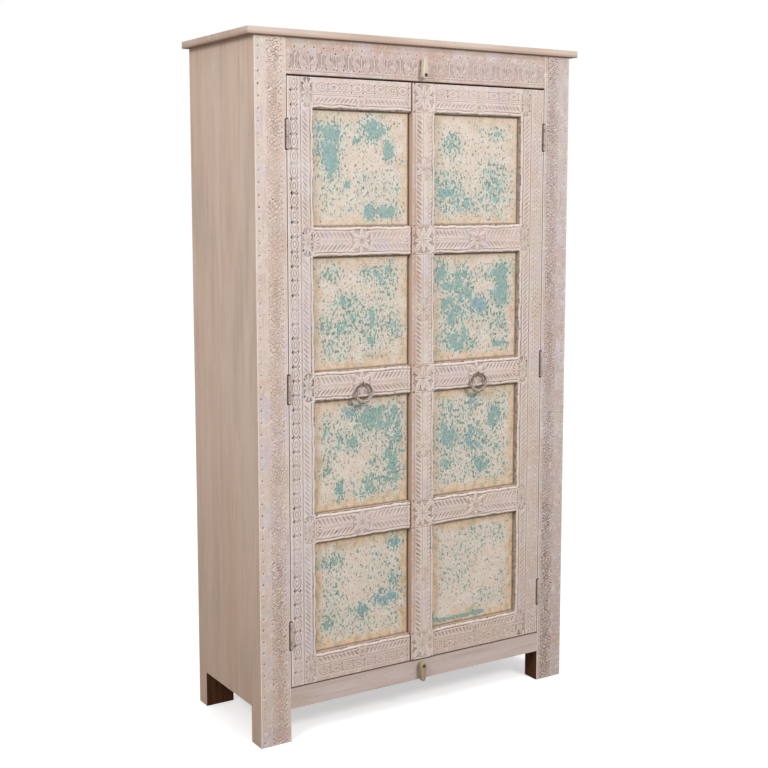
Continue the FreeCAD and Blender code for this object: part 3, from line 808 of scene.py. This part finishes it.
low, high = box_mm("right_meeting_stile")
face = Face(low, high)
rib, left_row, right_row, flower_x = low[0] + 43, low[0] + 22, low[0] + 59, low[0] + 36
for z_low, z_high in panel_runs:
    for z in np.arange(z_low + 8, z_high - 4, 12.5):
        face.gouge(left_row, z, 25, 7.4, 2.1, -0.85, 0.44)
        face.gouge(right_row, z, 18, 5.6, 1.4, 0.85, 0.24)
    face.bead(-1, x=high[0], start=z_low, end=z_high, pale=0.6)
face.line(2.4, 1.1, 0.35, x=low[0] + 8)
face.line(2.4, 1.3, 0.4, x=rib - 8.5)
face.line(2.0, 1.0, 0.25, x=rib + 8.5)
for z_low, z_high in panel_runs:
    z = (z_low + z_high) / 2
    face.sink(flower_x, z, 24, 33, 1.2, 0.2)
    for lean in round_steps(6) + pi / 6:
        face.leaf(flower_x, z, lean, 26 + 5 * abs(sin(lean)), 13, -0.2)
    face.button(flower_x, z, 4.5, 0.3)
for z_low, z_high in rail_runs:
    z = (z_low + z_high) / 2
    leafy_block(face, flower_x, z, 31, 37, 0.2, 0.34)
    fan(face, flower_x, z, 24, np.arange(8) * pi / 4 + pi / 8, 0.7)
    for dz in (-36, -12, 12, 36):
        face.diamond(low[0] + 5, z + dz, 5.4, 2.8, 1.0)
        face.diamond(high[0] - 5, z + dz, 5.0, 2.8, 0.85)
    for end_z in (z_low, z_high):
        face.line(2.4, 1.3, 0.4, z=end_z)
from_left = np.clip(1.35 - (face.x - low[0]) / 22, 0, 1)
face.toned = from_left * (0.2 + 0.9 * face.drift(70)) + 0.7 * np.clip(2 * face.drift(50) - 1.3, 0, 1)
face.toned = face.toned.clip(0, 0.9)
face.rub(low[0], 1.6, 0.5)
face.scuff(220)
board(
    "carved_meeting_stile", face, "right_door", "right_meeting_stile", middle_upright, inner_upright,
    "l", browner_left_edge, panel_back, {"r": 0.6},
)


# Doors: rails
# Five rails in each door. Each has a chipped bead along its panel edges and two rows of
# slanting flutes that point to a raised flower. The top and bottom rails have one such row,
# and a chain of eye shapes in place of the other.

carved_level = whitewashed_wood("carved_whitewashed_rail", "x", "#dfcec8", "#dcc2b6", "#9a8276", "#d2b8aa")
edge_x = {
    -1: (box_mm("left_hinge_stile")[1][0], box_mm("left_meeting_stile")[1][0]),
    1: (box_mm("right_meeting_stile")[1][0], box_mm("right_hinge_stile")[0][0]),
}
door_back = box_mm("left_hinge_stile")[1][1]
pull_x = {side: sum(corner[0] for corner in box_mm(name + "_ring")) / 2 for side, name in sides}


def flutes(face, start, end, x, z, up, reach, tall=27.0):
    """A row of slanting flutes at height z, which lean towards the flower at x."""
    for cut_x in np.arange(start + 12, end - 9, 12.2):
        if abs(cut_x - x) > reach:
            toward = 1 if cut_x < x else -1
            lean = (0.6 if up > 0 else 0.82) * toward * up
            face.gouge(cut_x, z, tall, 7.4, 1.9, -lean, 0.34)


for side, name in sides:
    start, end = edge_x[side]
    for rail, (z_low, z_high) in zip(rail_names, rail_runs):
        face = Face((start, front, z_low), (end, door_back - 0.3, z_high))
        x, z = pull_x[side], (z_low + z_high) / 2
        if rail != "bottom_rail":
            face.bead(1, z=z_low)
        if rail != "top_rail":
            face.bead(-1, z=z_high)
        is_end = rail in ("top_rail", "bottom_rail")
        if is_end:
            up, inner_z = (1, z_high) if rail == "bottom_rail" else (-1, z_low)
            row_z, chain_z = inner_z - up * 21, inner_z - up * 53
            flutes(face, start, end, x, row_z, up, 17, 21.0)
            face.line(2.4, 1.2, 0.35, z=inner_z - up * 34)
            face.line(2.0, 0.9, 0.25, z=inner_z - up * 39)
            eyes, margin = 8, 8
            link = (end - start - 2 * margin) / eyes
            runs = np.arange(start + margin, end - 7, 2.5)
            chain(face, runs, chain_z, start + margin, link, 0.7, (2.4, 1.4, 0.34), False)
            for eye in range(eyes):
                eye_x = start + margin + (eye + 0.5) * link
                face.arc(eye_x, chain_z, 8 - 2 * (eye % 2), 0, 2 * pi, 2.3, 1.4, 0.32, 0.6)
                face.diamond(eye_x, chain_z, 4.2, 2.0, 0.7)
                for turn in (-1, 1):
                    face.diamond(eye_x + link / 2, chain_z + turn * 9, 5.0, 2.6, 0.9)
            leafy_block(face, x, row_z, 17, 15, 1.0, 0.5)
        else:
            for up in (1, -1):
                flutes(face, start, end, x, z + up * 16, up, 30)
            for up in (1, -1):
                face.line(1.8, 0.9, 0.3, z=z + up * 2.2)
            face.sink(x, z, 29, 31, 1.7, 0.26)
            leaves(face, x, z, (0.72, 2.42, 3.86, 5.56), 33, 15, 1.5)
            leaves(face, x, z, (0, pi), 26, 10, 1.5)
            leaves(face, x, z, (pi / 2, -pi / 2), 35, 12, 1.5)
            face.button(x, z, 6.5, 2.2, hatched=True)
            leans = np.array([-1.25, -0.75, -0.25, 0.25, 0.75, 1.25])
            fan(face, start - 4, z, 17, leans, 0.55)
            fan(face, end + 4, z, 17, pi - leans, 0.55)
        face.toned = 0.7 * np.clip(2.2 * face.drift(48) - 1.2, 0, 1)
        face.toned = np.maximum(face.toned, 0.6 * (rail == "bottom_rail"))
        face.scuff(50)
        if side < 0:
            face.line(2.4, 1.5, 0.5, x=end - 9)
            if not is_end:
                face.arc(end - 5.5, z_high - 6, 3.4, 0.3, 4.8, 2.4, 1.8, 0.7)
        board(
            name + "_carved_" + rail, face, name + "_door", name + "_door_" + rail, carved_level,
            inner_level, "r" if side < 0 else "", behind=panel_back, painted_shade={"t": 0.4, "b": 0.3},
        )


# Doors: panels
# Thin boards held in grooves. Cream paint was laid over old turquoise and rubbed back while
# soft, so the turquoise shows in torn patches and small flecks, each panel worn in its own
# way, and the edges are stained yellow.

def rubbed_paint(name):
    """Old turquoise under cream. Where little of the old paint is left it shows as flecks with
    a pale halo, and where much is left as whole patches, blue or green, with torn edges."""
    finish, put = new_finish(name)
    place = put("TexCoord", out="Object")
    upright = put("Mapping", {"Vector": place, "Scale": (1.0, 1.0, 0.66)})
    warp, grit, cloud = patterns(put, place, "z", (1, 9, 3.0), (1, 3, 3.0), (1, 34, 4.0))
    warp = put("VectorMath", {0: warp.node.outputs["Color"], "Scale": 8 * mm}, operation="SCALE")
    torn = put("VectorMath", {0: upright, 1: warp}, operation="ADD")
    patch, dab, hue = patterns(put, torn, "z", (1, 17, 3.0), (1, 9.5, 2.5), (1, 15, 3.0))
    fleck, ghost = patterns(put, upright, "z", (1, 6.2, 1.5), (1, 5, 1.0))
    rim, old, blue = marked(put, "rim", "old_paint", "blue_paint")
    height = put("SeparateXYZ", {"Vector": place}, out="Z")

    wander = put("Math", {0: cloud, 1: 90 * mm, 2: -45 * mm}, operation="MULTIPLY_ADD")
    from_edge = put("Math", {0: rim, 1: wander}, operation="ADD")
    stain = {"Value": from_edge, "From Min": 44 * mm, "From Max": 2 * mm, "To Max": 0.72}
    stain = put("MapRange", stain, interpolation_type="SMOOTHSTEP")
    aged = {"Value": height, "From Min": 1.5, "From Max": 0.4, "To Min": 0.7, "To Max": 1.3}
    stain = put("Math", {0: stain, 1: put("MapRange", aged)}, operation="MULTIPLY", use_clamp=True)
    veil = put("MapRange", {"Value": old, "From Min": 0.32, "From Max": 0.8, "To Max": 1.1})
    veil = put("Math", {0: veil, 1: cloud}, operation="MULTIPLY", use_clamp=True)
    ghost = put("MapRange", {"Value": ghost, "From Min": 0.52, "From Max": 0.6, "To Max": 0.5})
    ghost = put("Math", {0: ghost, 1: old}, operation="MULTIPLY")
    spread = put("Math", {0: patch, 1: 1.1, 2: -0.55}, operation="MULTIPLY_ADD")
    solid = put("Math", {0: old, 1: spread}, operation="ADD")
    teal = coats(
        put, "#1d7d7c",
        (hue, "#70b2aa"),
        (height, 1.3, 0.3, 0.5, "#4c8068"),
        (blue, "#4c91ab"),
    )
    ground = coats(
        put, "#ddccbc",
        (cloud, 0.38, 0.62, 1.0, "#e3d7cb"),
        (hue, 0.53, 0.66, 0.65, "#dfc6b8"),
        (stain, coats(put, "#b8a478", (hue, 0.4, 0.56, 1.0, "#e2c09c"))),
        (veil, "#b4cbbf"),
        (ghost, "#a3a491"),
        (solid, 0.7, 0.78, 0.5, "#e3e3da"),
        (solid, 0.76, 0.82, 0.9, coats(put, teal, (fleck, 0.5, 0.6, 0.6, "#c2d9d2"))),
    )
    bare = {"Value": solid, "From Min": 0.76, "From Max": 0.82, "To Min": 1.0, "To Max": 0.46}
    bare = put("MapRange", bare)
    grey = coats(put, "#727766", (old, "#3f6e66"))
    for layer, none, most, share, hues in ((dab, 0.69, 0.5, 0.85, teal), (fleck, 0.66, 0.47, 0.8, grey)):
        needed = put("MapRange", {"Value": old, "To Min": none, "To Max": most})
        over = put("Math", {0: layer, 1: needed}, operation="SUBTRACT")
        for start, end, most_shown, shown_hue in ((-0.04, -0.01, 0.45, "#e8e2d8"), (0, 0.035, share, hues)):
            reach = {"Value": over, "From Min": start, "From Max": end, "To Max": most_shown}
            shown = put("Math", {0: put("MapRange", reach), 1: bare}, operation="MULTIPLY")
            ground = coats(put, ground, (shown, shown_hue))
    ground = coats(
        put, ground,
        (grit, 0.61, 0.68, 0.6, "#8d7d69"),
        (grit, 0.42, 0.35, 0.5, "#e7dfd5"),
        # A dark brown line at each panel edge is painted shade where the panel meets its frame.
        (rim, 6 * mm, 1 * mm, 0.85, "#73604a"),
    )
    relief = put("Math", {0: dab, 1: grit}, operation="ADD")
    surface(put, ground, 0.62, relief, 0.4, 0.7)
    return finish


panel_paint = rubbed_paint("cream_paint_rubbed_over_turquoise")
panel_names = ("bottom_panel", "lower_panel", "upper_panel", "top_panel")
# How thick the flecks lie on each panel, how whole its patches of old paint are, and each patch:
# its middle and half size and how blue it is, in hundredths of the panel's width and height.
old_paint = {
    "left_door_top_panel": (0.46, 1.0, [
        (20, 80, 10, 8, 10), (16, 66, 10, 9, 40), (20, 52, 7, 7, 10), (62, 83, 11, 8, 30),
        (79, 66, 5, 8, 10), (45, 74, 3, 3, 0), (36, 36, 3, 3, 0), (76, 13, 10, 5, 0), (60, 12, 6, 6, 30),
    ]),
    "right_door_top_panel": (0.46, 0.76, [
        (25, 72, 8, 8, 0), (74, 83, 6, 4, 0), (20, 30, 13, 14, 20), (42, 19, 16, 7, 10),
        (72, 36, 12, 16, 10),
    ]),
    "left_door_upper_panel": (0.62, 0.8, [
        (20, 85, 8, 6, 0), (35, 60, 10, 6, 10), (80, 85, 5, 6, 0), (85, 35, 6, 9, 10), (15, 40, 5, 7, 0),
        (60, 25, 6, 4, 0),
    ]),
    "right_door_upper_panel": (0.84, 0.84, [
        (12, 80, 7, 10, 10), (35, 75, 10, 10, 10), (55, 50, 12, 10, 90), (30, 45, 10, 8, 30),
        (85, 85, 6, 6, 10), (80, 60, 7, 10, 20), (25, 20, 10, 7, 20),
    ]),
    "left_door_lower_panel": (0.74, 0.84, [
        (42, 87, 10, 6, 30), (62, 85, 4, 3, 0), (28, 64, 3, 6, 40), (40, 56, 6, 5, 0), (70, 75, 5, 9, 10),
        (84, 78, 8, 11, 20), (88, 58, 5, 8, 40), (62, 40, 5, 3, 0), (85, 27, 6, 9, 20),
        (27, 20, 5, 6, 30),
    ]),
    "right_door_lower_panel": (0.58, 0.84, [
        (20, 55, 10, 11, 30), (50, 50, 13, 10, 90), (75, 70, 8, 12, 30), (50, 85, 8, 6, 10),
        (60, 25, 10, 8, 20), (20, 30, 8, 6, 10),
    ]),
    "left_door_bottom_panel": (0.46, 0.84, [
        (20, 80, 9, 6, 10), (85, 88, 6, 5, 70), (75, 38, 12, 7, 100), (15, 25, 5, 6, 10),
        (50, 30, 6, 5, 30), (85, 55, 5, 6, 50),
    ]),
    "right_door_bottom_panel": (0.4, 1.7, [
        (3, 10, 1.2, 3, 0), (7, 6.2, 3, 1.8, 0), (15, 5, 6, 1.4, 0), (28, 5, 8, 1.3, 0),
        (42, 5, 8, 1.4, 0), (56, 5.5, 7, 1.8, 0),
    ]),
}
for side, name in sides:
    start, end = edge_x[side]
    for (z_low, z_high), panel in zip(panel_runs, panel_names):
        node = name + "_door_" + panel
        face = Face(*box_mm(node))
        xs, zs = np.meshgrid(face.x, face.z)
        face.cut = 0.25 + 0.2 * np.sin(xs / 31 + zs / 47) * np.cos(zs / 23 - xs / 60)
        piece = board(
            name + "_painted_" + panel, face, name + "_door", node, panel_paint, inner_upright, "lrtb",
        )
        to_edge = np.minimum.reduce([xs - start, end - xs, zs - z_low, z_high - zs]).clip(0, None)
        across, up = (xs - start) / (end - start), (zs - z_low) / (z_high - z_low)
        share, whole, patches = old_paint[node]
        field = np.clip((to_edge - 11) / 24, 0, 1)
        crowd = 0.15 + 0.85 * face.drift(62) + 0.45 * (face.drift(24) - 0.5)
        old = share * field * (1.45 * crowd).clip(0, 1.15)
        blue = 0.5 * np.clip(2.4 * face.drift(45) - 1.7, 0, 1)
        for at_x, at_z, half_x, half_z, blueness in np.array(patches) / 100:
            away = np.hypot((across - at_x) / half_x, (up - at_z) / half_z)
            within = np.clip(1.5 - away, 0, 1)
            old = np.maximum(old, 0.66 * np.clip(1.8 - 0.6 * away, 0, 1) * (0.4 + 0.8 * crowd))
            old = np.maximum(old, (0.5 + (whole - 0.5) * within) * (within > 0))
            blue = np.maximum(blue, blueness * within)
        for label, values in (("rim", to_edge * mm), ("old_paint", old), ("blue_paint", blue)):
            mark_points(piece.data, label, values)


# Hinges
# Iron butt hinges, three to a door, let into the post and the door and brushed over with the
# same whitewash. It has worn off in places, and both sides of the knuckles are darkened with
# painted shade.

def washed_iron(name, wash, iron, worn_share):
    """Iron or cast metal under a thin wash. A metal keeps its own look only where the wash has
    rubbed off, on the places that a hand or a knuckle touches."""
    finish, put = new_finish(name)
    place = put("TexCoord", out="Object")
    speck, cloud = patterns(put, place, "z", (1, 3, 4.0), (1, 14, 3.0))
    worn = put("Math", {0: speck, 1: cloud}, operation="ADD")
    worn = put("MapRange", {"Value": worn, "From Min": 1.0, "From Max": 1.2, "To Max": worn_share})
    recess = marked(put, "recess")[0]
    # Points marked dark are painted brown: painted shade on the hinge knuckles and on the ring.
    ground = coats(put, wash, (worn, iron), (recess, "#54423a"))
    rough = put("MapRange", {"Value": worn, "To Min": 0.75, "To Max": 0.45})
    surface(put, ground, rough, speck, 0.4, 0.3)
    return finish


def turned(x, y, profile):
    """A turned piece on an upright line, from pairs of radius and height."""
    return skin(
        [[(x + r * cos(t), y + r * sin(t), z) for t in round_steps(28)] for r, z in profile]
    )


def slab(x, y, z):
    xs, ys, zs = sorted(x), sorted(y), sorted(z)
    return skin([[(xs[0], ys[0], h), (xs[1], ys[0], h), (xs[1], ys[1], h), (xs[0], ys[1], h)] for h in zs])


hinge_finish = washed_iron("whitewashed_iron_hinge", "#cbb8b0", "#846f63", 0.7)
pin_y = front - 1.0
knuckle_radius, knuckles, paint_thick, play, ease = 5.0, 5, 0.12, 0.15, 0.7
step, r = leaf_height / knuckles, knuckle_radius - 0.05
for side, name in sides:
    x = side * pin_x
    for on_door, label, body in ((False, "frame", "carcass"), (True, "door", name + "_door")):
        parts = []
        toward = -side if on_door else side
        plate_x = (x + toward * (1 - paint_thick), x + toward * 3)
        for low, high in knuckle_runs[side]:
            foot = (low + high) / 2 - leaf_height / 2
            parts.append(slab(plate_x, (pin_y + 5.5, pin_y + 25), (foot, foot + leaf_height)))
            for number in range(int(on_door), knuckles, 2):
                start, end = foot + number * step + play, foot + (number + 1) * step - play
                profile = [(r - ease, start), (r, start + ease), (r, end - ease), (r - ease, end)]
                parts.append(turned(x, pin_y, profile))
                parts.append(slab(plate_x, (pin_y, pin_y + 5.6), (start, end)))
        # Painted shade: each knuckle is darkened towards its sides, leaving a pale strip down its front.
        painted_shade = [
            min(max(abs(point[0] - x) / knuckle_radius - 0.35, 0) * 1.4, 0.85)
            for points, faces in parts
            for point in points
        ]
        piece_of(
            name + "_washed_%s_leaves" % label, parts, hinge_finish, body,
            "%s_hinge_%s_leaves" % (name, label), painted_shade,
        )


# Ring pulls
# A cast ring on each door, with a grip twisted like rope, hung from a wire eye that is driven
# through the middle of the carved flower. The thin half of the ring and the hollows of its
# twist are darkened with painted shade.

def round_pin(x, z, radius, count, depths):
    """A round pin that runs from front to back between two depths."""
    return skin(
        [[(x + radius * cos(t), y, z + radius * sin(t)) for t in round_steps(count)] for y in depths]
    )


ring_finish = washed_iron("rubbed_cast_ring", "#c9bdb2", "#7c6c5f", 0.8)
eye_finish = washed_iron("washed_wire_eye", "#b7a697", "#5d4c40", 0.8)
ring_radius, thin_radius, thick_radius, eye_radius, wire_radius = 24.0, 3.0, 5.0, 5.0, 1.6
grip_turn, taper_turn, strands = radians(210), radians(20), 4
for side, name in sides:
    low, high = box_mm(name + "_ring")
    x, y = pull_x[side], (low[1] + high[1]) / 2
    hang_z = low[2] + thick_radius + 2 * ring_radius
    middle_z = hang_z - ring_radius
    rings, shade = [], []
    for t in round_steps(120) - pi:
        swell = min(max((grip_turn / 2 - abs(t)) / taper_turn, 0), 1)
        twist = 2 * pi * 1.5 * min(max(t / grip_turn + 0.5, 0), 1)
        radius = thin_radius + (thick_radius - thin_radius) * swell
        ring = []
        for u in round_steps(24):
            lobe = abs(cos(strands / 2 * (u - twist)))
            r = radius - 1.3 * swell * (1 - lobe) ** 1.3
            out = ring_radius + r * cos(u)
            ring.append((x + sin(t) * out, y + r * sin(u), middle_z - cos(t) * out))
            # Painted shade on the thin half of the ring and in the hollows of its twist.
            shade.append(0.8 * (1 - swell) + swell * (1 - lobe) ** 1.2)
        rings.append(ring)
    node = name + "_ring"
    piece_of(name + "_twisted_ring", [skin(rings, True)], ring_finish, node, node, shade)
    low, high = box_mm(name + "_ring_eye")
    eye_y = low[1] + eye_radius + wire_radius
    wire = []
    for t in round_steps(40):
        loop = []
        for u in round_steps(12):
            out = eye_radius + wire_radius * cos(u)
            side_x = x + wire_radius * sin(u)
            loop.append((side_x, eye_y + out * cos(t), hang_z + out * sin(t)))
        wire.append(loop)
    shank = round_pin(x, hang_z, 1.75, 16, (high[1] - 0.5, eye_y + eye_radius))
    piece_of(
        name + "_wire_eye", [skin(wire, True), shank], eye_finish, name + "_door",
        name + "_ring_eye",
    )


# Turn buttons
# Two tapered bits of wood that turn on a screw to hold the doors shut, whittled round at the
# edges. They are stored turned clear of the doors. The lower one has lost most of its wash.

def button_outline(x, z, toward, end_radius, nose_radius, run, inset, y):
    """The outline round two circles of unlike size, drawn in by inset."""
    big, small = end_radius - inset, nose_radius - inset
    lean = asin((big - small) / run)
    around, over = np.linspace(pi - lean, 2 * pi + lean, 22), np.linspace(lean, pi - lean, 16)
    points = [(x + big * cos(t), y, z + toward * big * sin(t)) for t in around]
    return points + [(x + small * cos(t), y, z + toward * (run + small * sin(t))) for t in over]


top_button = washed_board("washed_turn_button", "z", "#dccdbd", "#e6dccd", "#b09c80")
bottom_button = washed_board("worn_turn_button", "z", "#9c9272", "#b3a582", "#6d6247")
screw_finish = washed_iron("dull_screw_steel", "#4a3f38", "#2c221d", 0.8)
rounded = [(2.4, 0.0), (1.2, 0.45), (0.5, 1.1), (0.1, 2.4), (0.1, 11.8), (0.5, 13.1), (1.4, 14.0)]
reach, end_radius, nose_radius = 44.0, 10.0, 6.5
for name, finish, slot_name, toward in (
    ("top", top_button, "limed_button", 1),
    ("bottom", bottom_button, "worn_button", -1),
):
    node = name + "_turn_button"
    low, high = box_mm(node)
    x = (low[0] + high[0]) / 2
    screw_z = low[2] + end_radius if toward > 0 else high[2] - end_radius
    shape = x, screw_z, toward, end_radius, nose_radius, reach - nose_radius
    outlines = [button_outline(*shape, inset, low[1] + deep) for inset, deep in rounded]
    boss = round_pin(x, screw_z, 7.9, 28, (low[1] + rounded[-1][1], high[1]))
    piece_of(name + "_whittled_button", [skin(outlines), boss], finish, node, node)
finish_nodes(screw_finish, "turn_button_screws")


# Studio
# A white floor that keeps the cabinet's shadow, a softbox high on the right in front and a
# weaker one high on the left, an even pale room, and the camera where the photographer stood.

floor_mesh = bpy.data.meshes.new("studio_floor")
floor_mesh.from_pydata([(-9, -9, 0), (9, -9, 0), (9, 9, 0), (-9, 9, 0)], [], [(0, 1, 2, 3)])
floor = bpy.data.objects.new("studio_floor", floor_mesh)
bpy.context.scene.collection.objects.link(floor)
floor_paint, put = new_finish("white_studio_floor")
seen = put("LightPath", out="Is Camera Ray")
shade = put("MixRGB", {"Fac": seen, "Color1": "#8f8c88", "Color2": "#fafafa"})
glow, unlit = (put("Emission", {"Color": "#ffffff", "Strength": strength}) for strength in (0.5, 0.0))
glow = put("MixShader", {0: seen, 1: unlit, 2: glow})
both = put("AddShader", {0: put("BsdfDiffuse", {"Color": shade}), 1: glow})
put("OutputMaterial", {"Surface": both})
floor_mesh.materials.append(floor_paint)

world = bpy.data.worlds.new("pale_studio")
world.use_nodes = True
bpy.context.scene.world = world
world.node_tree.nodes.clear()
put = functools.partial(add, world.node_tree)
seen, glossy = (put("LightPath", out=ray) for ray in ("Is Camera Ray", "Is Glossy Ray"))
seen = put("Math", {0: seen, 1: glossy}, operation="MAXIMUM")
sky = put("Background", {"Color": "#fbf9f8", "Strength": 0.6})
backdrop = put("Background", {"Color": "#ffffff", "Strength": 1.0})
put("OutputWorld", {"Surface": put("MixShader", {0: seen, 1: sky, 2: backdrop})})

for name, place, power in (
    ("right_softbox", (0.95, -4.1, 3.3), 98),
    ("left_softbox", (-3.4, -1.9, 3.0), 60),
):
    softbox = bpy.data.lights.new(name, "AREA")
    softbox.shape = "DISK"
    softbox.size = 1.3
    softbox.energy = power
    softbox_object = bpy.data.objects.new(name, softbox)
    softbox_object.location = place
    toward = Vector((0, -0.19, 1.1)) - softbox_object.location
    softbox_object.rotation_euler = toward.to_track_quat("-Z", "Y").to_euler()
    bpy.context.scene.collection.objects.link(softbox_object)

lens_px, image_px, axis_row_px = 1285.7, 768.0, 348.0
azimuth, elevation = radians(-32.21), radians(6.622)
camera = bpy.data.cameras.new("photo_camera")
camera.sensor_width = 36.0
camera.lens = camera.sensor_width * lens_px / image_px
camera.shift_y = (axis_row_px - image_px / 2) / image_px
camera.clip_end = 50
camera_object = bpy.data.objects.new("photo_camera", camera)
camera_object.location = (-1.9268, -3.0437, 1.4147)
camera_object.rotation_euler = (pi / 2 - elevation, 0, azimuth)
bpy.context.scene.collection.objects.link(camera_object)
bpy.context.scene.camera = camera_object
bpy.context.scene.view_settings.view_transform = "Standard"
